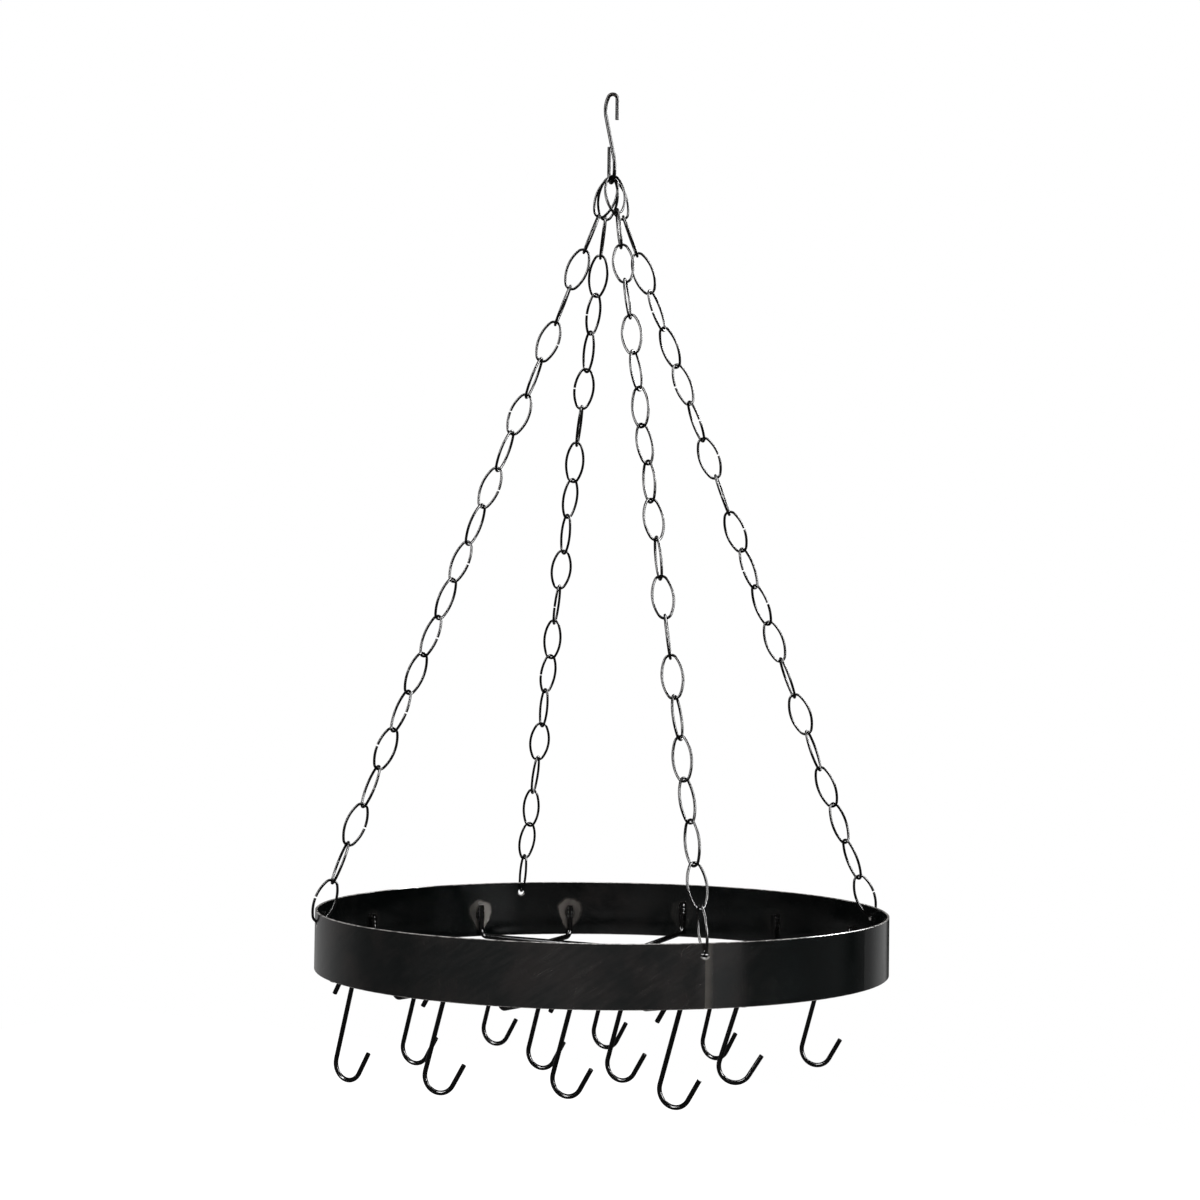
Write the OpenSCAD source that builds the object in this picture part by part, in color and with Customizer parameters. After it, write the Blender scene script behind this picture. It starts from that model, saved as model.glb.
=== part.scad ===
// Hanging pot rack. A hoop rolled from flat strip carries a grid of bent rods, welded inside it.
// Four wire chains join it to one bent-wire hanger, and twelve loose pot hooks hang on the rods.
// The origin is where the ceiling eye bears, under the crest of the hanger's top curl. +Z is up,
// the long rods run along Y and the cross rods along X.

/* [Hoop] */
// Outside diameter of the hoop
hoop_d = 500; // [440:5:560]
// Height of the flat strip that the hoop is rolled from
strip_h = 51; // [42:1:70]
// Thickness of the strip
strip_t = 2; // [1.5:0.1:3]
// Chamfer on the strip's edges
strip_chamfer = 0.4; // [0.2:0.1:0.6]
// Diameter of the four chain holes
hole_d = 6; // [5:0.25:8]
// Depth of the hole centres below the strip's top edge
hole_drop = 9; // [7:0.5:14]
// Turn of the chain holes from the cross rods' direction
hole_turn = 49; // [45:1:52]
// How far the second and fourth chain holes stand off square to the other two
hole_skew = 5.5; // [0:0.5:8]

/* [Rods] */
// Diameter of the rods
rod_d = 5; // [4:0.25:6]
// Spacing of the long rods
rod_pitch = 100; // [80:1:108]
// Spacing of the cross rods
cross_pitch = 127; // [110:1:150]
// Height of a rod's upturned ends, from its centre line
rod_leg = 30; // [22:1:36]
// Bend radius at the rods' corners, on the centre line
rod_bend_r = 7; // [5:0.5:10]
// Radius of the slight bend where a long rod starts to rise to the hoop, on the centre line
rod_rise_r = 40; // [25:1:60]
// Depth of the long rods' centre lines below the strip's bottom edge
rod_drop = 4.5; // [1:0.25:6]
// Radius of one ripple of the weld between a rod's end and the hoop
weld_r = 3.4; // [3.2:0.1:4.5]
// Radius of the spot weld where two rods cross
spot_r = 2.2; // [1.6:0.1:2.4]
// Gap that a weld bridges
weld_gap = 0.1; // [0.05:0.05:0.3]

/* [Pot hooks] */
// Diameter of the hooks' wire
hook_wire = 4; // [3:0.25:5]
// Straight length of a hook's shank
hook_shank = 65; // [55:1:90]
// Room in the top curl, beyond the rod and its clearance
hook_room = 1.2; // [0.6:0.1:3]
// Inside radius of the lower curl, where a pot's handle hangs
hook_seat_r = 11.5; // [8:0.5:15]
// Bend of both curls
hook_bend = 165; // [150:1:175]
// Straight length of the top tip
hook_top_tip = 18; // [8:1:22]
// Straight length of the lower tip
hook_low_tip = 20; // [12:1:30]

/* [Chains] */
// Outside length of a link
link_len = 39.7; // [36:0.1:46]
// Outside width of a link
link_w = 19.8; // [17:0.1:24]
// Diameter of the links' wire
chain_wire = 2.3; // [1.8:0.1:2.6]
// Radius of a link's ends, on the centre line
link_end_r = 5.5; // [4.8:0.1:6.5]
// Width of the butt joint in a link's side, where it was left open
link_gap = 1.4; // [0.4:0.1:2]
// Width of the butt joint in a link's side, where it was closed tight
shut_gap = 0.25; // [0.15:0.05:0.4]

/* [Hanger] */
// Diameter of the hanger's wire
hanger_wire = 3.4; // [2.8:0.1:4]
// Overall height of the hanger
hanger_h = 82; // [76:1:110]
// Radius over the top curl's crest, on the centre line
hanger_crest_r = 4.1; // [3.8:0.1:6]
// Radius of the long bend down the top curl's back, on the centre line
hanger_back_r = 28; // [20:1:36]
// Radius of the lower curl, on the centre line
hanger_curl_r = 9.5; // [9:0.25:12]
// Straight length of the top curl's free leg
hanger_top_tip = 18.5; // [10:0.5:20]
// Straight length of the lower curl's free leg
hanger_low_tip = 24; // [12:1:28]
// Turn of the top curl from the cross rods' direction
hanger_turn = 30; // [25:1:37]
// Twist of the lower curl from the top curl
hanger_twist = 105; // [98:1:112]

/* [Fits] */
// Clearance wherever one wire hangs on another
play = 0.3; // [0.2:0.05:0.4]
// How much thinner a tight bend draws the wire
draw = 0.04; // [0.02:0.01:0.08]

/* [Hidden] */
$fn = 40;
hoop_fn = 200;
draw_lap = 0.3;
paint = "#1c1b1b";

// The pieces
ROD_COUNT = 4;
CROSS_COUNT = 3;
HOOKS_PER_ROD = 3;
CHAINS = ["front_right", "back_right", "back_left", "front_left"];
GROUPS = 6;
LINKS_PER_GROUP = 3;
LINKS = GROUPS * LINKS_PER_GROUP + 2;

// Half turns that each chain is twisted by as it hangs, in the order of CHAINS
half_turns = [1, 1, 2, 0];
// Places of the four top links side by side on the lower curl, in link spacings from its middle
curl_place = [-1.5, 0.5, 1.5, -0.5];
// Links of each chain, counted from the hanger with the top link as 0, whose joints were left open
open_links = [[], [3, 5, 6, 7, 9, 10, 11, 19], [3, 5, 11, 13], [4, 6, 8, 10, 12, 14, 15, 17, 19]];
// Links that hang with their joint to the other side
turned_links = [[], [3, 6, 9, 10, 19], [3, 13], [10, 14, 15, 17, 19]];

// How far each long rod rises to the hoop at its -Y and its +Y end, as it was bent by hand
rod_rise = [[3, 3], [2.4, 8.8], [2.4, 3], [5.5, 3]];

// Each hook on its rod: the cross rod that its place is measured from, counted from the middle
// one; the free gap beside that rod, negative on the side towards -Y; how far the hook has turned
// on the rod; and how much longer than hook_shank its own shank is, as hooks bent by hand differ
hook_place = [
    [[-1, -37, -3, 3], [0, -65.5, 1, 1], [0, 55.5, 1.5, 1.5]],
    [[-1, -47, 9, 1], [0, -15.5, 4, 2.5], [1, -30.5, -3, -0.5]],
    [[-1, -10.5, 3.5, -2], [0, -49, 3, -2], [1, -5, -5, 3.5]],
    [[-1, -12, 2, -3.5], [0, -35, 20, -8.5], [1, -3.5, 8.5, 0]]
];

// Vectors
up = [0, 0, 1];
function unit(v) = v / norm(v);
function polar(angle) = [cos(angle), sin(angle), 0];
function square_to(v, axis) = unit(v - (v * axis) * axis);

// Hanger: heights of the crest and of the lower curl's centre, on the wire's centre line
crest_z = hanger_wire / 2;
curl_z = crest_z - (hanger_h - hanger_wire) + hanger_curl_r;
curl_dir = polar(hanger_turn + hanger_twist);
// The crest bends until the back's own 24 degrees bring the wire straight down
back_a = 24;
crest_a = 180 - back_a;
back_x = hanger_crest_r * cos(crest_a) - hanger_back_r * (1 - cos(back_a));
back_z = crest_z - hanger_crest_r * (1 - sin(crest_a)) - hanger_back_r * sin(back_a);
// The shank leans across from the back of the top curl to the start of the lower one
shank_end_r = 20;
shank_leg = 5;
shank_to = -hanger_curl_r * [cos(hanger_twist), sin(hanger_twist)] - [back_x, 0];
shank_x = norm(shank_to);
shank_z = back_z - curl_z - shank_leg;
shank_rs = hanger_back_r + shank_end_r;
shank_len = sqrt(pow(shank_z, 2) + pow(shank_x, 2) - 2 * shank_rs * shank_x);
shank_a = atan2(shank_z, shank_rs - shank_x) - atan2(shank_len, shank_rs);
shank_turn = atan2(shank_to[1], shank_to[0]);

// Chain links: an oval of four arcs
link_a = (link_len - chain_wire) / 2;
link_b = (link_w - chain_wire) / 2;
link_side_r = (pow(link_a - link_end_r, 2) + pow(link_b, 2) - pow(link_end_r, 2))
    / (2 * (link_b - link_end_r));
link_side_a = atan2(link_a - link_end_r, link_side_r - link_b);
link_end_a = 90 - link_side_a;

// Chains: each runs on a straight line through the lower curl's wire and the top of its hole
hoop_r = hoop_d / 2;
hoop_ri = hoop_r - strip_t;
hoop_mid_r = hoop_r - strip_t / 2;
tight_pitch = link_len - 2 * chain_wire - play;
tight_run = (LINKS - 1) * tight_pitch + link_len - chain_wire;
chain_lean = asin(hoop_mid_r / tight_run);
curl_step = 2 * asin((chain_wire + play)
    / (2 * (hanger_curl_r - (hanger_wire + chain_wire) / 2 - play)));
top_seat = (hanger_wire + chain_wire) / 2 / cos(1.5 * curl_step - chain_lean) + play;
hole_seat = link_end_r + strip_t / 2 * sin(chain_lean)
    - sqrt(pow(link_end_r - chain_wire / 2 - play, 2) - pow(strip_t / 2 * cos(chain_lean), 2));
line_len = tight_run - top_seat - hole_seat;
function curl_point(c) = [0, 0, curl_z] + hanger_curl_r * (
    sin(curl_place[c] * curl_step) * curl_dir - cos(curl_place[c] * curl_step) * up);
function hole_a(c) = hole_turn - hole_skew * (c % 2) + 90 * (c - 1);
function hole_plan(c) = hoop_mid_r * polar(hole_a(c));
function plan_gap(c) = norm([hole_plan(c)[0] - curl_point(c)[0], hole_plan(c)[1] - curl_point(c)[1]]);
// The hoop hangs as low as its tightest chain lets it
hole_top_z = max([for (c = [0 : 3]) curl_point(c)[2] - sqrt(pow(line_len, 2) - pow(plan_gap(c), 2))]);
hoop_top_z = hole_top_z + hole_drop - hole_d / 2;
function hole_point(c) = hole_plan(c) + hole_top_z * up;
function chain_dir(c) = unit(hole_point(c) - curl_point(c));
function chain_start(c) = curl_point(c) - top_seat * chain_dir(c);
function chain_run(c) = norm(hole_point(c) - curl_point(c)) + top_seat + hole_seat;
function link_pitch(c) = (chain_run(c) - (link_len - chain_wire)) / (LINKS - 1);
// The first link lies square to the lower curl and the last in its hole's radial plane
function first_side(c) = square_to(cross(curl_dir, up), chain_dir(c));
function last_side(c) = square_to(polar(hole_a(c)), chain_dir(c));
function side_turn(c) = atan2(
    cross(first_side(c), last_side(c)) * chain_dir(c),
    first_side(c) * last_side(c));
function spare_turn(c) = (side_turn(c) - 90 * (LINKS - 1) + 45 + 3600) % 180 - 45 + 180 * half_turns[c];
function has(list, k) = len([for (n = list) if (n == k) n]) > 0;
function link_turn(c, k) = k * (90 + spare_turn(c) / (LINKS - 1)) + (has(turned_links[c], k) ? 180 : 0);
function joint_gap(c, k) = has(open_links[c], k) ? link_gap : shut_gap;

// Rods
rod_z = hoop_top_z - strip_h - rod_drop;
cross_z = rod_z + rod_d + weld_gap;
leg_r = hoop_ri - weld_gap - rod_d / 2;
weld_steps = 3;
weld_pitch = weld_r * 1.1;
weld_in = weld_r / 2;
function row(i, count, pitch) = (i - (count + 1) / 2) * pitch;
function rod_x(i) = row(i, ROD_COUNT, rod_pitch);
function cross_y(i) = row(i, CROSS_COUNT, cross_pitch);
function half_span(offset) = sqrt(pow(leg_r, 2) - pow(offset, 2));
// A long rod is level as far as just beyond the outer cross rods
rise_from = cross_pitch + rod_d;
function end_rise(i, y) = rod_rise[i - 1][y < 0 ? 0 : 1];
function rise_a(i, y) = abs(y) > rise_from ? atan(end_rise(i, y) / (half_span(rod_x(i)) - rise_from)) : 0;
function height_at(i, y) = rod_z + max(0, abs(y) - rise_from) * tan(rise_a(i, y));

// Pot hooks: the lean that brings the centre of mass of a hook with this shank under its rod
hook_top_r = rod_d / 2 + play + hook_room + hook_wire / 2;
hook_low_r = hook_seat_r + hook_wire / 2;
function arc_len(r) = r * hook_bend * PI / 180;
function arc_mid(r) = r * sin(hook_bend / 2) / (hook_bend * PI / 360)
    * [cos(hook_bend / 2), sin(hook_bend / 2)];
bend_out = [cos(hook_bend), sin(hook_bend)];
tip_out = [-sin(hook_bend), cos(hook_bend)];
function low_centre(shank) = [hook_top_r + hook_low_r, -shank];
function hook_moment(shank) = arc_len(hook_top_r) * arc_mid(hook_top_r)
    + hook_top_tip * (hook_top_r * bend_out + hook_top_tip / 2 * tip_out)
    + shank * [hook_top_r, -shank / 2]
    + arc_len(hook_low_r) * (low_centre(shank) - arc_mid(hook_low_r))
    + hook_low_tip * (low_centre(shank) - hook_low_r * bend_out - hook_low_tip / 2 * tip_out);
function hook_lean(shank) = atan2(hook_moment(shank)[0], -hook_moment(shank)[1]);
function hook_y(place) = place[0] * cross_pitch + place[1] + sign(place[1]) * (rod_d + hook_wire) / 2;

// A round wire bent step by step. Each step is [feed, roll, bend radius, bend angle, draw]: the
// wire runs straight along +Z by feed, rolls about itself, and bends towards its own +X. A bend
// with a draw is pulled thinner by it, and its ends run on into the full wire beside it.
module bent_wire(d, steps, i = 0) {
    if (i < len(steps)) {
        feed = steps[i][0];
        r = steps[i][2];
        a = steps[i][3];
        thin = steps[i][4];
        lap = thin > 0 ? draw_lap / r * 180 / PI : 0;
        if (feed > 0) cylinder(d = d, h = feed);
        translate([0, 0, feed]) rotate([0, 0, steps[i][1]]) {
            if (a > 0)
                translate([r, 0, 0]) rotate([90, 0, 180]) rotate([0, 0, -lap])
                    rotate_extrude(angle = a + 2 * lap) translate([r, 0]) circle(d = d - thin);
            translate([r, 0, 0]) rotate([0, a, 0]) translate([-r, 0, 0])
                bent_wire(d, steps, i + 1);
        }
    }
}

// Puts children in a frame whose X and Z axes and origin are given
module in_frame(x, z, at) {
    y = cross(z, x);
    multmatrix([
        [x[0], y[0], z[0], at[0]],
        [x[1], y[1], z[1], at[1]],
        [x[2], y[2], z[2], at[2]],
        [0, 0, 0, 1]
    ]) children();
}

// S-shaped hanger, bent from one wire, with its lower curl turned across the top one
module hanger() {
    color(paint)
        rotate([0, 0, hanger_turn])
            translate([hanger_crest_r, 0, crest_z - hanger_crest_r - hanger_top_tip])
                rotate([0, 0, 180])
                    bent_wire(hanger_wire, [
                        [hanger_top_tip, 0, hanger_crest_r, crest_a, draw],
                        [0, 0, hanger_back_r, back_a, 0],
                        [0, -shank_turn, hanger_back_r, shank_a, draw],
                        [shank_len, 180, shank_end_r, shank_a, draw],
                        [shank_leg, 180 + shank_turn - hanger_twist, hanger_curl_r, 180, draw],
                        [hanger_low_tip, 0, 0, 0, 0]
                    ]);
}

// Hoop rolled from flat strip, with four holes that the chains hook through
module hoop() {
    e = strip_chamfer;
    color(paint)
        difference() {
            translate([0, 0, hoop_top_z - strip_h])
                rotate_extrude($fn = hoop_fn)
                    polygon([
                        [hoop_ri + e, 0], [hoop_r - e, 0], [hoop_r, e], [hoop_r, strip_h - e],
                        [hoop_r - e, strip_h], [hoop_ri + e, strip_h], [hoop_ri, strip_h - e],
                        [hoop_ri, e]
                    ]);
            for (c = [0 : 3])
                rotate([0, 0, hole_a(c)])
                    translate([hoop_ri - strip_t, 0, hoop_top_z - hole_drop])
                        rotate([0, 90, 0]) cylinder(d = hole_d, h = 3 * strip_t);
        }
}

// Rod along Y at x = offset, with both ends turned up against the hoop's inner face. Beyond the
// level part each end rises by its own rise.
module bent_rod(offset, z, level, rise) {
    span = half_span(offset);
    slope = [for (r = rise) atan(r / (span - level))];
    corner = [for (a = slope) rod_bend_r * tan(45 - a / 2)];
    kink = [for (a = slope) rod_rise_r * tan(a / 2)];
    sloping = [for (e = [0, 1]) (span - level) / cos(slope[e]) - corner[e] - kink[e]];
    flat = [for (e = [0, 1]) level - kink[e] + (rise[e] > 0 ? 0 : sloping[e])];
    middle = flat[0] + flat[1];
    translate([offset, -span, z + rise[0] + rod_leg])
        rotate([180, 0, 90])
            bent_wire(rod_d, concat(
                [[rod_leg - corner[0], 0, rod_bend_r, 90 - slope[0], draw]],
                rise[0] > 0 ? [[sloping[0], 0, rod_rise_r, slope[0], draw]] : [],
                rise[1] > 0 ? [[middle, 0, rod_rise_r, slope[1], draw]] : [],
                [[rise[1] > 0 ? sloping[1] : middle, 0, rod_bend_r, 90 - slope[1], draw]],
                [[rod_leg - corner[1], 0, 0, 0, 0]]
            ));
    for (e = [0, 1])
        end_weld(atan2((2 * e - 1) * span, offset), z + rise[e] + rod_leg);
}

// Weld between an upturned end and the hoop: ripples down the end, cut off at the hoop's face
module end_weld(angle, top_z) {
    intersection() {
        for (i = [1 : weld_steps])
            rotate([0, 0, angle]) translate([hoop_ri - weld_in, 0, top_z - i * weld_pitch])
                sphere(r = weld_r);
        translate([0, 0, top_z - (weld_steps + 2) * weld_pitch])
            cylinder(r = hoop_ri, h = (weld_steps + 3) * weld_pitch, $fn = hoop_fn);
    }
}

// Long rod, which carries three pot hooks
module rod(i) {
    color(paint) bent_rod(rod_x(i), rod_z, rise_from, rod_rise[i - 1]);
}

// Cross rod, which lies on the long rods and is spot welded to each
module cross_rod(i) {
    color(paint) {
        rotate([0, 0, 90]) bent_rod(cross_y(i), cross_z, 0, [0, 0]);
        difference() {
            for (k = [1 : ROD_COUNT])
                translate([rod_x(k), cross_y(i), rod_z + rod_d / 2]) sphere(r = spot_r);
            for (k = [1 : ROD_COUNT])
                translate([rod_x(k), cross_y(i) - rod_d, rod_z]) rotate([-90, 0, 0])
                    cylinder(d = rod_d, h = 2 * rod_d);
        }
    }
}

// Pot hook, bent from one wire into an S, hanging still on its rod
module pot_hook(i) {
    rod_no = ceil(i / HOOKS_PER_ROD);
    place = hook_place[rod_no - 1][(i - 1) % HOOKS_PER_ROD];
    shank = hook_shank + place[3];
    color(paint)
        translate([rod_x(rod_no), hook_y(place), height_at(rod_no, hook_y(place)) - hook_room])
            rotate([0, hook_lean(shank) + 180 - hook_bend, place[2]])
                translate([-hook_top_r, 0, -hook_top_tip])
                    bent_wire(hook_wire, [
                        [hook_top_tip, 0, hook_top_r, hook_bend, draw],
                        [shank, 180, hook_low_r, hook_bend, draw],
                        [hook_low_tip, 0, 0, 0, 0]
                    ]);
}

// One oval link about its own centre, long along Z and wide along X, butt jointed on its +X side
module link(gap) {
    gap_a = asin(gap / 2 / link_side_r);
    translate([link_b - link_side_r, 0, 0]) rotate([0, -gap_a, 0]) translate([link_side_r, 0, 0])
        rotate([0, 0, 180])
            bent_wire(chain_wire, [
                [0, 0, link_side_r, link_side_a - gap_a, 0],
                [0, 0, link_end_r, 2 * link_end_a, draw],
                [0, 0, link_side_r, 2 * link_side_a, 0],
                [0, 0, link_end_r, 2 * link_end_a, draw],
                [0, 0, link_side_r, link_side_a - gap_a, 0]
            ]);
}

// Links first to last of chain c, each hanging in the one above it
module chain(c, first, last) {
    side = first_side(c);
    side_2 = cross(chain_dir(c), side);
    color(paint)
        for (k = [first : last])
            in_frame(
                cos(link_turn(c, k)) * side + sin(link_turn(c, k)) * side_2,
                chain_dir(c),
                chain_start(c) + (link_a + k * link_pitch(c)) * chain_dir(c)
            ) link(joint_gap(c, k));
}

hanger();
hoop();
for (i = [1 : ROD_COUNT])
    rod(i);
for (i = [1 : CROSS_COUNT])
    cross_rod(i);
for (i = [1 : ROD_COUNT * HOOKS_PER_ROD])
    pot_hook(i);
for (c = [0 : 3])
    chain(c, 0, 0);
for (c = [0 : 3], g = [1 : GROUPS])
    chain(c, (g - 1) * LINKS_PER_GROUP + 1, g * LINKS_PER_GROUP);
for (c = [0 : 3])
    chain(c, LINKS - 1, LINKS - 1);
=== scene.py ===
import math

import bpy
from mathutils import Matrix, Vector


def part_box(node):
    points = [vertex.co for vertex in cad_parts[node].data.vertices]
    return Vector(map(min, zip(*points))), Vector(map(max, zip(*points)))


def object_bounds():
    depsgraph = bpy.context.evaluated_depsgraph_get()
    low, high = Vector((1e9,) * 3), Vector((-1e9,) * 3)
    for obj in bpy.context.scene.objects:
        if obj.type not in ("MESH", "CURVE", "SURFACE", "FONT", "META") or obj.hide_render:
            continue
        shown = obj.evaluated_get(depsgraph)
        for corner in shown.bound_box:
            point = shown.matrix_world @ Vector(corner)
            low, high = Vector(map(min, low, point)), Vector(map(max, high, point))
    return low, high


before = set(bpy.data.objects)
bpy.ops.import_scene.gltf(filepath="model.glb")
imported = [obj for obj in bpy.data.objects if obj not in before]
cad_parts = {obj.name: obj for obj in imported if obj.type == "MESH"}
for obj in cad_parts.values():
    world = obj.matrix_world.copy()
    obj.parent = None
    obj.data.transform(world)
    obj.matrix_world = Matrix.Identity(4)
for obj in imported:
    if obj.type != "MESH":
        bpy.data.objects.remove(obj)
cad_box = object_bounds()


# The viewpoint.
# The photograph was taken from just over 2 m away, about 0.2 m above the hoop's rim, with a short
# telephoto lens tipped up a little, and it leans by less than a degree.
MM = 0.001
hoop_low, hoop_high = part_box("hoop")
VIEW_TURN = math.radians(30.44)  # from looking along the long rods
EYE_AWAY = 2009.5 * MM
EYE_ABOVE_RIM = 213 * MM
EYE_ASIDE = 5.5 * MM
VIEW_PITCH = math.radians(1.657)
VIEW_ROLL = math.radians(0.75)
LENS_MM = 68.5
SENSOR_MM = 36

to_right = Vector((math.cos(VIEW_TURN), math.sin(VIEW_TURN), 0))
to_back = Vector((-math.sin(VIEW_TURN), math.cos(VIEW_TURN), 0))
to_top = Vector((0, 0, 1))
rim_centre = Vector((0, 0, hoop_high.z))
eye = rim_centre - EYE_ASIDE * to_right - EYE_AWAY * to_back + EYE_ABOVE_RIM * to_top

camera = bpy.data.objects.new("camera", bpy.data.cameras.new("camera"))
camera.data.lens = LENS_MM
camera.data.sensor_width = SENSOR_MM
camera.matrix_world = (
    Matrix.Translation(eye)
    @ Matrix.Rotation(VIEW_TURN, 4, "Z")
    @ Matrix.Rotation(math.pi / 2 + VIEW_PITCH, 4, "X")
    @ Matrix.Rotation(VIEW_ROLL, 4, "Z")
)
bpy.context.scene.collection.objects.link(camera)
bpy.context.scene.camera = camera


# The hoop.
# Mild steel flat bar, rolled into a ring, its ends butt welded together by the front chain hole
# and ground flush. Pale halos round the rod welds on its inner face are painted reflections. It is
# sprayed with a thin gloss black enamel, which lies a little cloudy and shows rub marks.
def hex_colour(text):
    """The linear colour, with alpha, of an sRGB hex value such as #1c1b1b."""
    channels = [int(text[i : i + 2], 16) / 255 for i in (1, 3, 5)]
    linear = [c / 12.92 if c <= 0.04045 else ((c + 0.055) / 1.055) ** 2.4 for c in channels]
    return (*linear, 1)


def add_node(tree, kind, settings=None, **inputs):
    """Adds a node. A setting is an attribute. An input is a socket to link from, or a value."""
    node = tree.nodes.new(kind)
    for name, value in (settings or {}).items():
        setattr(node, name, value)
    for name, value in inputs.items():
        by_number = name[1:].isdigit()
        socket = node.inputs[int(name[1:]) if by_number else name.replace("_", " ")]
        if isinstance(value, bpy.types.NodeSocket):
            tree.links.new(value, socket)
        else:
            socket.default_value = value
    return node


def new_material(name):
    """An empty node material, and its tree."""
    material = bpy.data.materials.new(name)
    material.use_nodes = True
    material.node_tree.nodes.clear()
    return material, material.node_tree


def dress(node_names, material):
    """Gives CAD nodes a material."""
    for name in node_names:
        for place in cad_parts[name].material_slots:
            place.material = material


HOOP_R = 250 * MM
STRIP_T = 2 * MM
RIM_Z, FOOT_Z = hoop_high.z, hoop_low.z
SEAM_TURN = math.radians(-41)  # the butt weld, on the radius of the front chain hole
HOLE_TURNS = [math.radians(turn) for turn in (-41, 43.5, 139, 223.5)]
HOLE_DROP = 9 * MM
HOLE_R = 3 * MM
ENAMEL_IOR = 1.5  # alkyd enamel

strip_enamel, tree = new_material("gloss_black_enamel_on_rolled_bar")
place = add_node(tree, "ShaderNodeTexCoord").outputs["Object"]

# The bar unrolled: metres along it from the butt weld, and height
turned = add_node(
    tree,
    "ShaderNodeVectorRotate",
    {"rotation_type": "Z_AXIS"},
    Vector=place,
    Angle=math.pi - SEAM_TURN,
)
across = add_node(tree, "ShaderNodeSeparateXYZ", _0=turned.outputs[0])
angle = add_node(
    tree, "ShaderNodeMath", {"operation": "ARCTAN2"}, _0=across.outputs["Y"], _1=across.outputs["X"]
)
along = add_node(
    tree,
    "ShaderNodeMath",
    {"operation": "MULTIPLY_ADD"},
    _0=angle.outputs[0], _1=HOOP_R, _2=math.pi * HOOP_R
)
bar = add_node(tree, "ShaderNodeCombineXYZ", X=along.outputs[0], Y=across.outputs["Z"])

# Cloudy gloss, where the spray lies thicker and thinner over a few centimetres
cloud = add_node(
    tree, "ShaderNodeTexNoise", Vector=place, Scale=1 / (38 * MM), Detail=4.0, Roughness=0.6
)
haze = add_node(
    tree,
    "ShaderNodeMapRange",
    {"interpolation_type": "SMOOTHSTEP"},
    Value=cloud.outputs["Fac"],
    From_Min=0.38,
    From_Max=0.66,
)

# Mill marks left by rolling run along the bar. Real ones are about 0.2 mm apart; they are drawn
# 1.4 mm apart so that they show.
stretched = add_node(
    tree,
    "ShaderNodeVectorMath",
    {"operation": "MULTIPLY"},
    _0=bar.outputs[0],
    _1=(1 / (90 * MM), 1 / (1.4 * MM), 1),
)
mill = add_node(tree, "ShaderNodeTexNoise", Vector=stretched.outputs[0], Scale=1.0, Detail=2.0)

# Rub marks: short slanting strokes in patches, from wiping the bar down before it was sprayed
leaning = add_node(
    tree,
    "ShaderNodeVectorRotate",
    {"rotation_type": "Z_AXIS"},
    Vector=bar.outputs[0],
    Angle=math.radians(-32),
)
strokes_at = add_node(
    tree,
    "ShaderNodeVectorMath",
    {"operation": "MULTIPLY"},
    _0=leaning.outputs[0],
    _1=(1 / (26 * MM), 1 / (3.2 * MM), 1),
)
strokes = add_node(
    tree, "ShaderNodeTexNoise", Vector=strokes_at.outputs[0], Scale=1.0, Detail=3.0, Distortion=0.5
)
patches = add_node(tree, "ShaderNodeTexNoise", Vector=place, Scale=1 / (70 * MM), Detail=1.0)
rubbed = add_node(
    tree,
    "ShaderNodeMapRange",
    {"interpolation_type": "SMOOTHSTEP"},
    Value=patches.outputs["Fac"],
    From_Min=0.42,
    From_Max=0.6,
    To_Min=0.1,
    To_Max=0.5,
)
# The strongest strokes lie just to the left of the butt weld, where it was cleaned up
off_weld_left = add_node(
    tree,
    "ShaderNodeMapRange",
    {"interpolation_type": "SMOOTHSTEP"},
    Value=along.outputs[0],
    From_Min=2 * math.pi * HOOP_R - 190 * MM,
    From_Max=2 * math.pi * HOOP_R - 110 * MM,
)
uneven = add_node(
    tree,
    "ShaderNodeMapRange",
    Value=cloud.outputs["Fac"], From_Min=0.42, From_Max=0.58, To_Min=0.2, To_Max=0.8
)
cleaned_up = add_node(
    tree,
    "ShaderNodeMath",
    {"operation": "MULTIPLY"},
    _0=off_weld_left.outputs["Result"],
    _1=uneven.outputs["Result"],
)
rubbed_most = add_node(
    tree,
    "ShaderNodeMath",
    {"operation": "MAXIMUM"},
    _0=rubbed.outputs["Result"],
    _1=cleaned_up.outputs[0],
)
stroke_lines = add_node(
    tree,
    "ShaderNodeMapRange",
    Value=strokes.outputs["Fac"], From_Min=0.42, From_Max=0.74
)
rub = add_node(
    tree,
    "ShaderNodeMath",
    {"operation": "MULTIPLY"},
    _0=rubbed_most.outputs[0],
    _1=stroke_lines.outputs["Result"],
)

# The butt weld, ground flush, with a painted reflection beside it: a pale band that starts sharply
# at the weld line and fades out in 9 mm
seam_sheen_fade = add_node(
    tree,
    "ShaderNodeMapRange",
    {"interpolation_type": "SMOOTHERSTEP"},
    Value=along.outputs[0],
    From_Min=0.5 * MM,
    From_Max=9 * MM,
    To_Min=1.0,
    To_Max=0.0,
)
seam_sheen_break = add_node(
    tree,
    "ShaderNodeMapRange",
    Value=cloud.outputs["Fac"], From_Min=0.3, From_Max=0.6, To_Min=0.65, To_Max=1.0
)
seam_sheen = add_node(
    tree,
    "ShaderNodeMath",
    {"operation": "MULTIPLY"},
    _0=seam_sheen_fade.outputs["Result"],
    _1=seam_sheen_break.outputs["Result"],
)
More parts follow.
